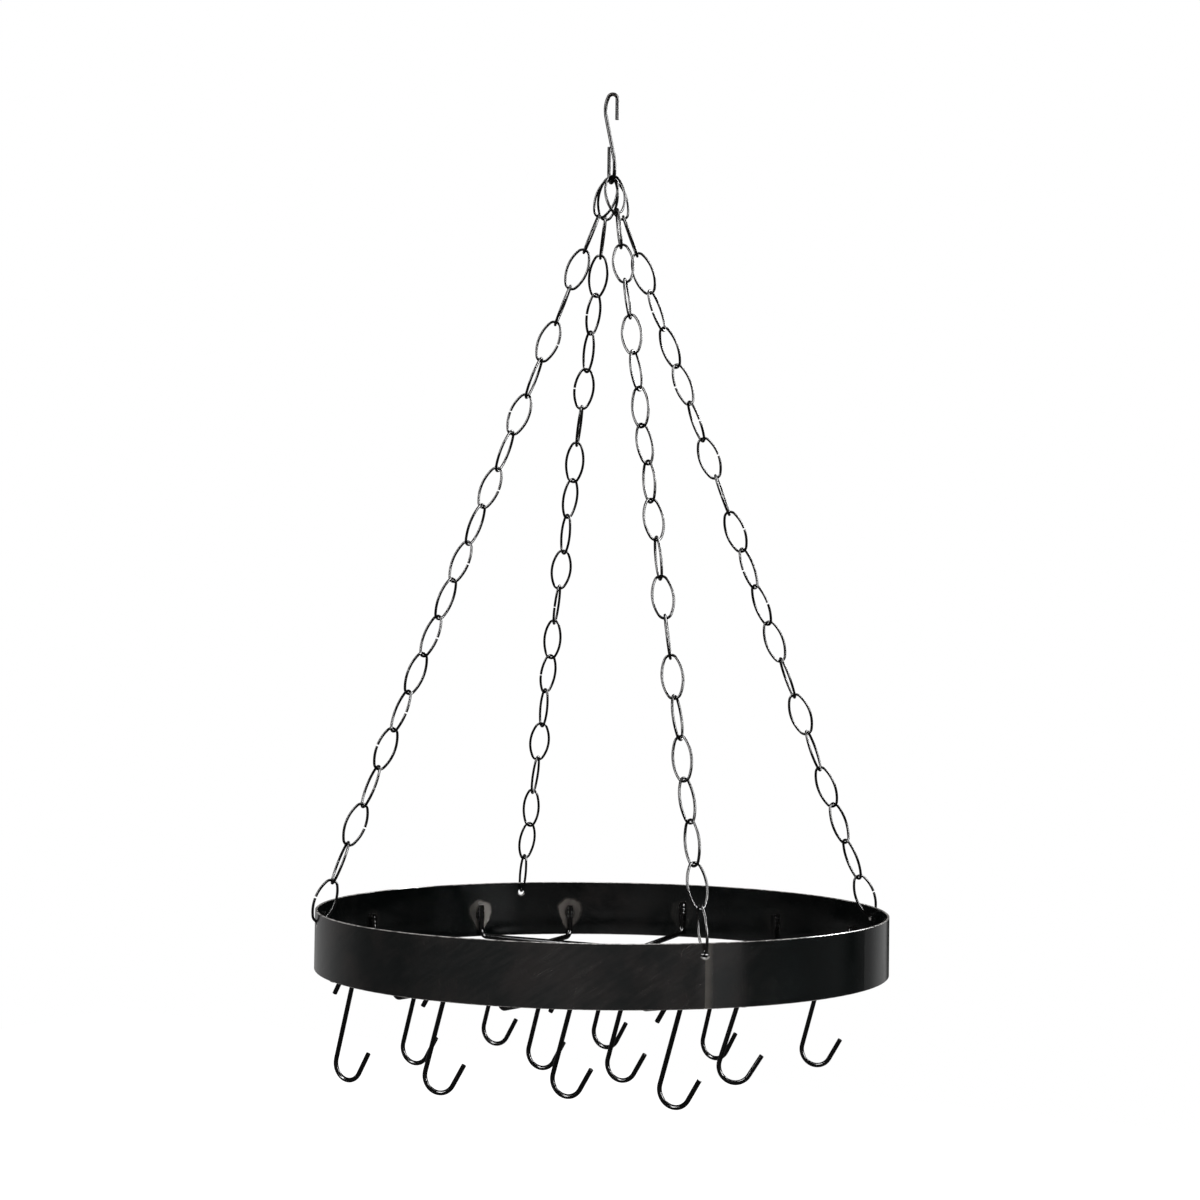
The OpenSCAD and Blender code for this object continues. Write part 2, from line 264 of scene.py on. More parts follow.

# Pale edges, partly wear and partly painted highlight: the enamel is thin on the bar's corners and
# is rubbed through in places, and the pale colour along them also stands in for the rim's highlight
edge_height = add_node(
    tree,
    "ShaderNodeMath",
    {"operation": "SUBTRACT"},
    _0=across.outputs["Z"],
    _1=(RIM_Z + FOOT_Z) / 2,
)
from_middle = add_node(tree, "ShaderNodeMath", {"operation": "ABSOLUTE"}, _0=edge_height.outputs[0])
near_edge = add_node(
    tree,
    "ShaderNodeMapRange",
    Value=from_middle.outputs[0],
    From_Min=(RIM_Z - FOOT_Z) / 2 - 0.7 * MM,
    From_Max=(RIM_Z - FOOT_Z) / 2 - 0.1 * MM,
)
chips = add_node(tree, "ShaderNodeTexNoise", Vector=place, Scale=1 / (5 * MM), Detail=3.0)
chip_spots = add_node(
    tree,
    "ShaderNodeMapRange",
    Value=chips.outputs["Fac"], From_Min=0.4, From_Max=0.62, To_Min=0.25, To_Max=1.0
)
edge_wear_and_highlight = add_node(
    tree,
    "ShaderNodeMath",
    {"operation": "MULTIPLY"},
    _0=near_edge.outputs["Result"],
    _1=chip_spots.outputs["Result"],
)

# A painted highlight under each hole: a pale crescent where the hole's lower edge catches the light
below_holes = add_node(
    tree,
    "ShaderNodeMath",
    {"operation": "LESS_THAN"},
    _0=across.outputs["Z"],
    _1=RIM_Z - HOLE_DROP - 1.5 * MM,
)
wear_and_painted_highlights = edge_wear_and_highlight.outputs[0]
for turn in HOLE_TURNS:
    hole_along = ((turn - SEAM_TURN) % (2 * math.pi)) * HOOP_R
    for lap in (0, 2 * math.pi * HOOP_R) if hole_along < HOLE_R else (0,):
        gap = add_node(
            tree,
            "ShaderNodeVectorMath",
            {"operation": "DISTANCE"},
            _0=bar.outputs[0],
            _1=(hole_along + lap, RIM_Z - HOLE_DROP, 0),
        )
        ring = add_node(
            tree,
            "ShaderNodeMapRange",
            Value=gap.outputs["Value"],
            From_Min=HOLE_R + 0.5 * MM,
            From_Max=HOLE_R + 1.4 * MM,
            To_Min=0.75,
            To_Max=0.0,
        )
        painted_crescent = add_node(
            tree,
            "ShaderNodeMath",
            {"operation": "MULTIPLY"},
            _0=ring.outputs["Result"],
            _1=below_holes.outputs[0],
        )
        wear_and_painted_highlights = add_node(
            tree, "ShaderNodeMath", {"operation": "MAXIMUM"}, _0=wear_and_painted_highlights, _1=painted_crescent.outputs[0]
        ).outputs[0]

# Weld halos on the inner face: a pale pear shape round each rod's end, a painted reflection
LEG_R = 245.4 * MM
WELD_DROP = 31 * MM
HALO_HALF_H = 15.5 * MM
LONG_ROD_X = (-150, -50, 50, 150)
CROSS_ROD_Y = (-127, 0, 127)
weld_halo_sheen_form = bpy.data.node_groups.new("weld_halo_sheen", "ShaderNodeTree")
weld_halo_sheen_form.interface.new_socket("Bar", in_out="INPUT", socket_type="NodeSocketVector")
weld_halo_sheen_form.interface.new_socket("Weld", in_out="INPUT", socket_type="NodeSocketVector")
weld_halo_sheen_form.interface.new_socket("Heat", in_out="INPUT", socket_type="NodeSocketFloat")
weld_halo_sheen_form.interface.new_socket("Wing", in_out="INPUT", socket_type="NodeSocketFloat")
weld_halo_sheen_form.interface.new_socket("Halo", in_out="OUTPUT", socket_type="NodeSocketFloat")
asked = add_node(weld_halo_sheen_form, "NodeGroupInput")
off_weld = add_node(
    weld_halo_sheen_form,
    "ShaderNodeVectorMath",
    {"operation": "SUBTRACT"},
    _0=asked.outputs["Bar"],
    _1=asked.outputs["Weld"],
)
off = add_node(weld_halo_sheen_form, "ShaderNodeSeparateXYZ", _0=off_weld.outputs[0])
# A pear shape, 27 mm wide above and narrow below, with the weld at the top
up_share = add_node(
    weld_halo_sheen_form, "ShaderNodeMath", {"operation": "DIVIDE"}, _0=off.outputs["Y"], _1=HALO_HALF_H
)
half_width = add_node(
    weld_halo_sheen_form,
    "ShaderNodeMath",
    {"operation": "MULTIPLY_ADD"},
    _0=up_share.outputs[0],
    _1=6 * MM,
    _2=11.5 * MM,
)
width_held = add_node(
    weld_halo_sheen_form, "ShaderNodeMath", {"operation": "MAXIMUM"}, _0=half_width.outputs[0], _1=2 * MM
)
side_share = add_node(
    weld_halo_sheen_form,
    "ShaderNodeMath",
    {"operation": "DIVIDE"},
    _0=off.outputs["X"],
    _1=width_held.outputs[0],
)
shares = add_node(weld_halo_sheen_form, "ShaderNodeCombineXYZ", X=side_share.outputs[0], Y=up_share.outputs[0])
reach = add_node(weld_halo_sheen_form, "ShaderNodeVectorMath", {"operation": "LENGTH"}, _0=shares.outputs[0])
edge = add_node(
    weld_halo_sheen_form,
    "ShaderNodeMapRange",
    {"interpolation_type": "SMOOTHSTEP"},
    Value=reach.outputs["Value"],
    From_Min=0.8,
    From_Max=1.08,
    To_Min=1.0,
    To_Max=0.0,
)
halo_core = add_node(
    weld_halo_sheen_form,
    "ShaderNodeMapRange",
    {"interpolation_type": "SMOOTHSTEP"},
    Value=reach.outputs["Value"],
    From_Min=0.2,
    From_Max=0.62,
    To_Min=0.1,
    To_Max=1.0,
)
shown = add_node(
    weld_halo_sheen_form,
    "ShaderNodeMath",
    {"operation": "MULTIPLY"},
    _0=edge.outputs["Result"],
    _1=halo_core.outputs["Result"],
)
sheened = add_node(
    weld_halo_sheen_form,
    "ShaderNodeMath",
    {"operation": "MULTIPLY"},
    _0=shown.outputs[0],
    _1=asked.outputs["Heat"],
)
# One wing of the painted reflection is the stronger
wing = add_node(
    weld_halo_sheen_form,
    "ShaderNodeMath",
    {"operation": "MULTIPLY"},
    _0=side_share.outputs[0],
    _1=asked.outputs["Wing"],
)
wing_level = add_node(
    weld_halo_sheen_form,
    "ShaderNodeMapRange",
    Value=wing.outputs[0],
    From_Min=-0.5,
    From_Max=0.4,
    To_Min=0.3,
    To_Max=1.0,
)
winged = add_node(
    weld_halo_sheen_form,
    "ShaderNodeMath",
    {"operation": "MULTIPLY"},
    _0=sheened.outputs[0],
    _1=wing_level.outputs["Result"],
)
add_node(weld_halo_sheen_form, "NodeGroupOutput", Halo=winged.outputs[0])

# Each weld with how strongly its halo shows: the photograph shows two bright and one faint, and
# the rest of those in view lie in the dark
weld_places = []
for x, sheen_levels in zip(LONG_ROD_X, ((0.5, 1.0), (0.7, 0.12), (0.4, 0.05), (0.6, 0.04))):
    for side, sheen_level in zip((-1, 1), sheen_levels):
        weld_places.append((math.atan2(side * math.sqrt((LEG_R / MM) ** 2 - x**2), x), sheen_level, 0.3))
for y, sheen_levels in zip(CROSS_ROD_Y, ((0.4, 0.5), (0.06, 0.04), (0.8, 0.04))):
    for side, sheen_level in zip((-1, 1), sheen_levels):
        weld_places.append((math.atan2(y, side * math.sqrt((LEG_R / MM) ** 2 - y**2)), sheen_level, -1.0))
wander = add_node(tree, "ShaderNodeTexNoise", Vector=place, Scale=1 / (11 * MM), Detail=2.0)
wander_by = add_node(
    tree,
    "ShaderNodeVectorMath",
    {"operation": "MULTIPLY_ADD"},
    _0=wander.outputs["Color"],
    _1=(5 * MM, 5 * MM, 0),
    _2=(-2.5 * MM, -2.5 * MM, 0),
)
wandering = add_node(
    tree,
    "ShaderNodeVectorMath",
    {"operation": "ADD"},
    _0=bar.outputs[0],
    _1=wander_by.outputs[0],
)
halos = None
for turn, sheen_level, wing in weld_places:
    weld = add_node(
        tree,
        "ShaderNodeGroup",
        {"node_tree": weld_halo_sheen_form},
        Bar=wandering.outputs[0],
        Weld=(((turn - SEAM_TURN) % (2 * math.pi)) * HOOP_R, RIM_Z - WELD_DROP, 0),
        Heat=sheen_level,
        Wing=wing,
    ).outputs["Halo"]
    if halos is None:
        halos = weld
    else:
        both = add_node(tree, "ShaderNodeMath", {"operation": "MAXIMUM"}, _0=halos, _1=weld)
        halos = both.outputs[0]
flat_place = add_node(
    tree, "ShaderNodeVectorMath", {"operation": "MULTIPLY"}, _0=place, _1=(1, 1, 0)
)
radius = add_node(tree, "ShaderNodeVectorMath", {"operation": "LENGTH"}, _0=flat_place.outputs[0])
inside = add_node(
    tree,
    "ShaderNodeMath",
    {"operation": "LESS_THAN"},
    _0=radius.outputs["Value"],
    _1=HOOP_R - STRIP_T / 2,
)
halo = add_node(tree, "ShaderNodeMath", {"operation": "MULTIPLY"}, _0=halos, _1=inside.outputs[0])

# Painted shade: to the right of the butt weld, as far as a quarter of the way round, the outer face
# is left without haze and strokes, so it shows darker and bluer. Over most of the inner face they
# are faint
left_of_shaded = add_node(
    tree,
    "ShaderNodeMapRange",
    {"interpolation_type": "SMOOTHSTEP"},
    Value=along.outputs[0],
    From_Min=25 * MM,
    From_Max=75 * MM,
    To_Min=1.0,
    To_Max=0.0,
)
right_of_shaded = add_node(
    tree,
    "ShaderNodeMapRange",
    {"interpolation_type": "SMOOTHSTEP"},
    Value=along.outputs[0],
    From_Min=400 * MM,
    From_Max=700 * MM,
)
# Painted shade: the outer face loses its haze and strokes between these two
unshaded_outside = add_node(
    tree,
    "ShaderNodeMath",
    {"operation": "MAXIMUM"},
    _0=left_of_shaded.outputs["Result"],
    _1=right_of_shaded.outputs["Result"],
)
# The inner face was hard to reach with the spray gun by the back rods, and is hazy there
BACK_HAZE_TURN = math.radians(118)
off_back = add_node(
    tree,
    "ShaderNodeVectorMath",
    {"operation": "DISTANCE"},
    _0=bar.outputs[0],
    _1=((BACK_HAZE_TURN - SEAM_TURN) * HOOP_R, RIM_Z - 12 * MM, 0),
)
back_haze = add_node(
    tree,
    "ShaderNodeMapRange",
    {"interpolation_type": "SMOOTHSTEP"},
    Value=off_back.outputs["Value"],
    From_Min=5 * MM,
    From_Max=62 * MM,
    To_Min=0.9,
    To_Max=0.1,
)
haze_share = add_node(
    tree,
    "ShaderNodeMix",
    {"data_type": "FLOAT"},
    _0=inside.outputs[0],
    _2=unshaded_outside.outputs[0],
    _3=back_haze.outputs["Result"],
)
hazy = add_node(
    tree,
    "ShaderNodeMath",
    {"operation": "MULTIPLY"},
    _0=haze.outputs["Result"],
    _1=haze_share.outputs[0],
)
marked = add_node(
    tree, "ShaderNodeMath", {"operation": "MULTIPLY"}, _0=rub.outputs[0], _1=haze_share.outputs[0]
)

# The colour, from the deepest black to the palest mark
body = add_node(
    tree,
    "ShaderNodeMix",
    {"data_type": "RGBA"},
    _0=inside.outputs[0],
    _6=hex_colour("#070b0b"),
    _7=hex_colour("#010303"),
)
dusty = add_node(
    tree,
    "ShaderNodeMix",
    {"data_type": "RGBA"},
    _0=hazy.outputs[0],
    _6=body.outputs[2],
    _7=hex_colour("#1b1817"),
)
stroked = add_node(
    tree,
    "ShaderNodeMix",
    {"data_type": "RGBA"},
    _0=marked.outputs[0],
    _6=dusty.outputs[2],
    _7=hex_colour("#2a2827"),
)
# The weld halos: painted reflections in pale grey-brown
halo_sheen_painted = add_node(
    tree,
    "ShaderNodeMix",
    {"data_type": "RGBA"},
    _0=halo.outputs[0],
    _6=stroked.outputs[2],
    _7=hex_colour("#524e4a"),
)
# The band beside the butt weld: a painted reflection in pale grey
seam_sheen_painted = add_node(
    tree,
    "ShaderNodeMix",
    {"data_type": "RGBA"},
    _0=seam_sheen.outputs[0],
    _6=halo_sheen_painted.outputs[2],
    _7=hex_colour("#46433f"),
)
# The pale edges and hole crescents: worn enamel with painted highlights
wear_and_highlights_painted = add_node(
    tree,
    "ShaderNodeMix",
    {"data_type": "RGBA"},
    _0=wear_and_painted_highlights,
    _6=seam_sheen_painted.outputs[2],
    _7=hex_colour("#b0adaa"),
)

# The gloss: sharp where the enamel is thick, duller where it is cloudy, in the weld halos and in
# the band beside the butt weld
gloss = add_node(
    tree,
    "ShaderNodeMapRange",
    Value=haze.outputs["Result"], To_Min=0.09, To_Max=0.16
)
gloss_mill = add_node(
    tree,
    "ShaderNodeMath",
    {"operation": "MULTIPLY_ADD"},
    _0=mill.outputs["Fac"], _1=0.05, _2=gloss.outputs["Result"]
)
seam_sheen_gloss = add_node(
    tree,
    "ShaderNodeMath",
    {"operation": "MULTIPLY_ADD"},
    _0=seam_sheen.outputs[0], _1=0.05, _2=gloss_mill.outputs[0]
)
roughness = add_node(
    tree,
    "ShaderNodeMath",
    {"operation": "MULTIPLY_ADD"},
    _0=halo.outputs[0], _1=0.3, _2=seam_sheen_gloss.outputs[0]
)

# The relief, in micrometres: orange peel about 1.5 mm across, mill marks and strokes
peel = add_node(tree, "ShaderNodeTexNoise", Vector=place, Scale=1 / (1.5 * MM), Detail=1.0)
peel_relief = add_node(
    tree, "ShaderNodeMath", {"operation": "MULTIPLY"}, _0=peel.outputs["Fac"], _1=4.0
)
mill_relief = add_node(
    tree,
    "ShaderNodeMath",
    {"operation": "MULTIPLY_ADD"},
    _0=mill.outputs["Fac"], _1=3.0, _2=peel_relief.outputs[0]
)
stroke_relief = add_node(
    tree,
    "ShaderNodeMath",
    {"operation": "MULTIPLY_ADD"},
    _0=rub.outputs[0], _1=5.0, _2=mill_relief.outputs[0]
)
relief = add_node(
    tree, "ShaderNodeBump", Strength=1.0, Distance=0.001 * MM, Height=stroke_relief.outputs[0]
)
shader = add_node(
    tree,
    "ShaderNodeBsdfPrincipled",
    Base_Color=wear_and_highlights_painted.outputs[2],
    IOR=ENAMEL_IOR,
    Roughness=roughness.outputs[0],
    Normal=relief.outputs[0],
)
add_node(tree, "ShaderNodeOutputMaterial", Surface=shader.outputs["BSDF"])
dress(["hoop"], strip_enamel)


# The rods.
# Drawn round bar, bent up cold at both ends, stick welded to the hoop by the ends and spot welded
# where they cross. The same enamel covers them, thin over the welds' ripples and worn on top of
# the rods where the pot hooks slide.
ROD_NODES = [f"rod_{i}" for i in range(1, 5)] + [f"cross_rod_{i}" for i in range(1, 4)]
rod_enamel, tree = new_material("gloss_black_enamel_on_drawn_bar")
place = add_node(tree, "ShaderNodeTexCoord").outputs["Object"]
spread = add_node(tree, "ShaderNodeTexNoise", Vector=place, Scale=1 / (18 * MM), Detail=3.0)
flat_place = add_node(
    tree, "ShaderNodeVectorMath", {"operation": "MULTIPLY"}, _0=place, _1=(1, 1, 0)
)
radius = add_node(tree, "ShaderNodeVectorMath", {"operation": "LENGTH"}, _0=flat_place.outputs[0])
by_hoop = add_node(
    tree,
    "ShaderNodeMapRange",
    {"interpolation_type": "SMOOTHSTEP"},
    Value=radius.outputs["Value"],
    From_Min=HOOP_R - STRIP_T - 6 * MM,
    From_Max=HOOP_R - STRIP_T - 2.5 * MM,
)
height = add_node(tree, "ShaderNodeSeparateXYZ", _0=place)
up_the_leg = add_node(
    tree,
    "ShaderNodeMapRange",
    {"interpolation_type": "SMOOTHSTEP"},
    Value=height.outputs["Z"],
    From_Min=FOOT_Z + 10 * MM,
    From_Max=FOOT_Z + 16 * MM,
)
on_weld = add_node(
    tree,
    "ShaderNodeMath",
    {"operation": "MULTIPLY"},
    _0=by_hoop.outputs["Result"],
    _1=up_the_leg.outputs["Result"],
)
# Spatter: beads of weld metal about 1 mm across, with light catching on some of them
beads = add_node(tree, "ShaderNodeTexVoronoi", Vector=place, Scale=1 / (2.2 * MM))
bead_spots = add_node(
    tree,
    "ShaderNodeMapRange",
    Value=beads.outputs["Distance"], From_Min=0.12, From_Max=0.4, To_Min=1.0, To_Max=0.0
)
spatter = add_node(
    tree,
    "ShaderNodeMath",
    {"operation": "MULTIPLY"},
    _0=on_weld.outputs[0],
    _1=bead_spots.outputs["Result"],
)
scratches = add_node(tree, "ShaderNodeTexNoise", Vector=place, Scale=1 / (2.5 * MM), Detail=3.0)
scratch_spots = add_node(
    tree,
    "ShaderNodeMapRange",
    Value=scratches.outputs["Fac"], From_Min=0.6, From_Max=0.72
)
facing = add_node(tree, "ShaderNodeNewGeometry")
facing_up = add_node(tree, "ShaderNodeSeparateXYZ", _0=facing.outputs["Normal"])
on_top = add_node(
    tree,
    "ShaderNodeMapRange",
    Value=facing_up.outputs["Z"], From_Min=0.85, From_Max=0.98
)
rubbed = add_node(
    tree,
    "ShaderNodeMath",
    {"operation": "MULTIPLY"},
    _0=on_top.outputs["Result"],
    _1=scratch_spots.outputs["Result"],
)
sprayed = add_node(
    tree,
    "ShaderNodeMix",
    {"data_type": "RGBA"},
    _0=spread.outputs["Fac"],
    _6=hex_colour("#020202"),
    _7=hex_colour("#070606"),
)
welded = add_node(
    tree,
    "ShaderNodeMix",
    {"data_type": "RGBA"},
    _0=spatter.outputs[0],
    _6=sprayed.outputs[2],
    _7=hex_colour("#2b2623"),
)
worn_rod = add_node(
    tree,
    "ShaderNodeMix",
    {"data_type": "RGBA"},
    _0=rubbed.outputs[0],
    _6=welded.outputs[2],
    _7=hex_colour("#57524d"),
)
gloss = add_node(tree, "ShaderNodeMapRange", Value=spread.outputs["Fac"], To_Min=0.1, To_Max=0.2)
roughness = add_node(
    tree,
    "ShaderNodeMath",
    {"operation": "MULTIPLY_ADD"},
    _0=on_weld.outputs[0], _1=0.15, _2=gloss.outputs["Result"]
)
sags = add_node(tree, "ShaderNodeTexNoise", Vector=place, Scale=1 / (6 * MM), Detail=1.0)
sag_relief = add_node(
    tree, "ShaderNodeMath", {"operation": "MULTIPLY"}, _0=sags.outputs["Fac"], _1=30.0
)
weld_relief = add_node(
    tree,
    "ShaderNodeMath",
    {"operation": "MULTIPLY_ADD"},
    _0=spatter.outputs[0], _1=200.0, _2=sag_relief.outputs[0]
)
relief = add_node(
    tree, "ShaderNodeBump", Strength=1.0, Distance=0.001 * MM, Height=weld_relief.outputs[0]
)
# Round bar and wire mirror every part of the room, and the photograph shows them almost black, so
# their specular level is held below real enamel's 0.5. It is matched to that one picture.
WIRE_GLOSS = 0.3
shader = add_node(
    tree,
    "ShaderNodeBsdfPrincipled",
    Base_Color=worn_rod.outputs[2],
    IOR=ENAMEL_IOR,
    Specular_IOR_Level=WIRE_GLOSS,
    Roughness=roughness.outputs[0],
    Normal=relief.outputs[0],
)
add_node(tree, "ShaderNodeOutputMaterial", Surface=shader.outputs["BSDF"])
dress(ROD_NODES, rod_enamel)


# The pot hooks.
# Bright drawn wire, 4 mm thick, cut and bent into an S, then dipped in gloss black enamel. The dip
# flows smooth, so its highlights are thin and sharp, and the cut ends and the seats of the curls
# are where it wears first.
HOOK_NODES = [f"pot_hook_{i}" for i in range(1, 13)]
hook_enamel, tree = new_material("dipped_gloss_black_enamel_on_hook_wire")
place = add_node(tree, "ShaderNodeTexCoord").outputs["Object"]
flow = add_node(tree, "ShaderNodeTexNoise", Vector=place, Scale=1 / (14 * MM), Detail=2.0)
dip = add_node(
    tree,
    "ShaderNodeMix",
    {"data_type": "RGBA"},
    _0=flow.outputs["Fac"],
    _6=hex_colour("#020202"),
    _7=hex_colour("#050505"),
)
rubs = add_node(tree, "ShaderNodeTexNoise", Vector=place, Scale=1 / (4 * MM), Detail=2.0)
rub_spots = add_node(
    tree,
    "ShaderNodeMapRange",
    Value=rubs.outputs["Fac"],
    From_Min=0.62,
    From_Max=0.78,
)
worn_hook = add_node(
    tree,
    "ShaderNodeMix",
    {"data_type": "RGBA"},
    _0=rub_spots.outputs["Result"],
    _6=dip.outputs[2],
    _7=hex_colour("#1d1b19"),
)
gloss = add_node(tree, "ShaderNodeMapRange", Value=flow.outputs["Fac"], To_Min=0.1, To_Max=0.2)
sags = add_node(tree, "ShaderNodeTexNoise", Vector=place, Scale=1 / (6 * MM), Detail=1.0)
relief = add_node(
    tree, "ShaderNodeBump", Strength=1.0, Distance=0.03 * MM, Height=sags.outputs["Fac"]
)
shader = add_node(
    tree,
    "ShaderNodeBsdfPrincipled",
    Base_Color=worn_hook.outputs[2],
    IOR=ENAMEL_IOR,
    Specular_IOR_Level=WIRE_GLOSS,
    Roughness=gloss.outputs["Result"],
    Normal=relief.outputs[0],
)
add_node(tree, "ShaderNodeOutputMaterial", Surface=shader.outputs["BSDF"])
dress(HOOK_NODES, hook_enamel)


# The chains.
# Oval links of 2.3 mm wire, bent round a former one through the next and left with a butt joint
# in one side. They were tumbled and enamelled as a chain, so they are rubbed a little dull where
# one link rolls on the next.
CHAIN_NODES = [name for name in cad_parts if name.startswith("chain_")]
chain_enamel, tree = new_material("gloss_black_enamel_on_chain_wire")
place = add_node(tree, "ShaderNodeTexCoord").outputs["Object"]
coat = add_node(tree, "ShaderNodeTexNoise", Vector=place, Scale=1 / (9 * MM), Detail=2.0)
coated = add_node(
    tree,
    "ShaderNodeMix",
    {"data_type": "RGBA"},
    _0=coat.outputs["Fac"],
    _6=hex_colour("#020202"),
    _7=hex_colour("#070606"),
)
rubs = add_node(tree, "ShaderNodeTexNoise", Vector=place, Scale=1 / (5 * MM), Detail=2.0)
rub_spots = add_node(
    tree,
    "ShaderNodeMapRange",
    Value=rubs.outputs["Fac"],
    From_Min=0.6,
    From_Max=0.76,
)
worn_link = add_node(
    tree,
    "ShaderNodeMix",
    {"data_type": "RGBA"},
    _0=rub_spots.outputs["Result"],
    _6=coated.outputs[2],
    _7=hex_colour("#2a2725"),
)
gloss = add_node(tree, "ShaderNodeMapRange", Value=coat.outputs["Fac"], To_Min=0.12, To_Max=0.26)
dents = add_node(tree, "ShaderNodeTexNoise", Vector=place, Scale=1 / (7 * MM), Detail=1.0)
relief = add_node(
    tree, "ShaderNodeBump", Strength=1.0, Distance=0.04 * MM, Height=dents.outputs["Fac"]
)
shader = add_node(
    tree,
    "ShaderNodeBsdfPrincipled",
    Base_Color=worn_link.outputs[2],
    IOR=ENAMEL_IOR,
    Specular_IOR_Level=WIRE_GLOSS,
    Roughness=gloss.outputs["Result"],
    Normal=relief.outputs[0],
)
add_node(tree, "ShaderNodeOutputMaterial", Surface=shader.outputs["BSDF"])
dress(CHAIN_NODES, chain_enamel)


# The hanger.
# Wire 3.4 mm thick, bent by hand round a pin at each end, with its lower curl turned across the
# top one. Bending has stretched the outside of each curl, and the enamel over it is polished by
# the ceiling eye above and the four top links below.
hanger_enamel, tree = new_material("gloss_black_enamel_on_hanger_wire")
place = add_node(tree, "ShaderNodeTexCoord").outputs["Object"]
coat = add_node(tree, "ShaderNodeTexNoise", Vector=place, Scale=1 / (12 * MM), Detail=2.0)
coated = add_node(
    tree,
    "ShaderNodeMix",
    {"data_type": "RGBA"},
    _0=coat.outputs["Fac"],
    _6=hex_colour("#020202"),
    _7=hex_colour("#070606"),
)
height = add_node(tree, "ShaderNodeSeparateXYZ", _0=place)
on_crest = add_node(
    tree,
    "ShaderNodeMapRange",
    Value=height.outputs["Z"], From_Min=-4 * MM, From_Max=1.5 * MM
)
rubs = add_node(tree, "ShaderNodeTexNoise", Vector=place, Scale=1 / (1.5 * MM), Detail=3.0)
rub_spots = add_node(
    tree,
    "ShaderNodeMapRange",
    Value=rubs.outputs["Fac"],
    From_Min=0.52,
    From_Max=0.66,
)
crest_wear = add_node(
    tree,
    "ShaderNodeMath",
    {"operation": "MULTIPLY"},
    _0=on_crest.outputs["Result"],
    _1=rub_spots.outputs["Result"],
)
worn_crest = add_node(
    tree,
    "ShaderNodeMix",
    {"data_type": "RGBA"},
    _0=crest_wear.outputs[0],
    _6=coated.outputs[2],
    _7=hex_colour("#5c5752"),
)
gloss = add_node(tree, "ShaderNodeMapRange", Value=coat.outputs["Fac"], To_Min=0.12, To_Max=0.24)
dents = add_node(tree, "ShaderNodeTexNoise", Vector=place, Scale=1 / (7 * MM), Detail=1.0)
relief = add_node(
    tree, "ShaderNodeBump", Strength=1.0, Distance=0.04 * MM, Height=dents.outputs["Fac"]
)
shader = add_node(
    tree,
    "ShaderNodeBsdfPrincipled",
    Base_Color=worn_crest.outputs[2],
    IOR=ENAMEL_IOR,
    Specular_IOR_Level=0.6 * WIRE_GLOSS,
    Roughness=gloss.outputs["Result"],
    Normal=relief.outputs[0],
)
add_node(tree, "ShaderNodeOutputMaterial", Surface=shader.outputs["BSDF"])
dress(["hanger"], hanger_enamel)


# The studio.
# A pale floor well below the rack, and softboxes above and to both sides. Gloss does not see this
# plain room: it sees grey panels, a dim floor and bright strips, fitted to the photograph's own
# viewpoint. From below, the strips burn parts of the hoop out to white.
FLOOR_BELOW = 1200 * MM
FLOOR_SIDE = 12.0
ROOM_LEVEL = 0.4  # the brightness that lights matt surfaces from all round
rack_low, rack_high = cad_box
floor_z = rack_low.z - FLOOR_BELOW
bpy.ops.mesh.primitive_plane_add(size=FLOOR_SIDE, location=(0, 0, floor_z))
floor = bpy.context.object
floor.name = "floor"
floor_paint, tree = new_material("pale_floor")
path = add_node(tree, "ShaderNodeLightPath")
matt = add_node(tree, "ShaderNodeBsdfDiffuse", Color=hex_colour("#e6e6e6"))
white = add_node(tree, "ShaderNodeEmission", Color=(1, 1, 1, 1), Strength=0.8)
lit = add_node(tree, "ShaderNodeAddShader", _0=matt.outputs[0], _1=white.outputs[0])
dim = add_node(tree, "ShaderNodeEmission", Color=(1, 1, 1, 1), Strength=0.12)
seen = add_node(
    tree,
    "ShaderNodeMixShader",
    _0=path.outputs["Is Camera Ray"],
    _1=matt.outputs[0],
    _2=lit.outputs[0],
)
glossed = add_node(
    tree,
    "ShaderNodeMixShader",
    _0=path.outputs["Is Glossy Ray"],
    _1=seen.outputs[0],
    _2=dim.outputs[0],
)
add_node(tree, "ShaderNodeOutputMaterial", Surface=glossed.outputs[0])
floor.data.materials.append(floor_paint)

# Panels round the rack: degrees to the right of the viewpoint, and brightness
PANELS = [
    (-180, 0.02),
    (-170, 0.04),
    (-164, 0.3),
    (-138, 0.26),
    (-122, 0.18),
    (-104, 0.1),
    (-84, 0.11),
    (-60, 0.2),
    (-34, 0.26),
    (-16, 0.36),
    (14, 0.28),
    (28, 0.32),
    (36, 0.22),
    (42, 0.6),
    (53, 0.4),
    (57, 0.1),
    (70, 0.08),
    (104, 0.1),
    (115, 0.01),
    (126, 0.08),
    (140, 0.3),
    (155, 0.42),
    (158, 0.04),
    (180, 0.01),
]
world = bpy.data.worlds.new("room")
world.use_nodes = True
bpy.context.scene.world = world
tree = world.node_tree
tree.nodes.clear()
path = add_node(tree, "ShaderNodeLightPath")
direction = add_node(tree, "ShaderNodeTexCoord").outputs["Generated"]
rightwards = add_node(
    tree, "ShaderNodeVectorMath", {"operation": "DOT_PRODUCT"}, _0=direction, _1=to_right
)
frontwards = add_node(
    tree, "ShaderNodeVectorMath", {"operation": "DOT_PRODUCT"}, _0=direction, _1=-to_back
)
bearing = add_node(
    tree,
    "ShaderNodeMath",
    {"operation": "ARCTAN2"},
    _0=rightwards.outputs["Value"],
    _1=frontwards.outputs["Value"],
)
turn_share = add_node(
    tree,
    "ShaderNodeMapRange",
    Value=bearing.outputs[0], From_Min=-math.pi, From_Max=math.pi
)
panels = add_node(tree, "ShaderNodeValToRGB", Fac=turn_share.outputs["Result"])
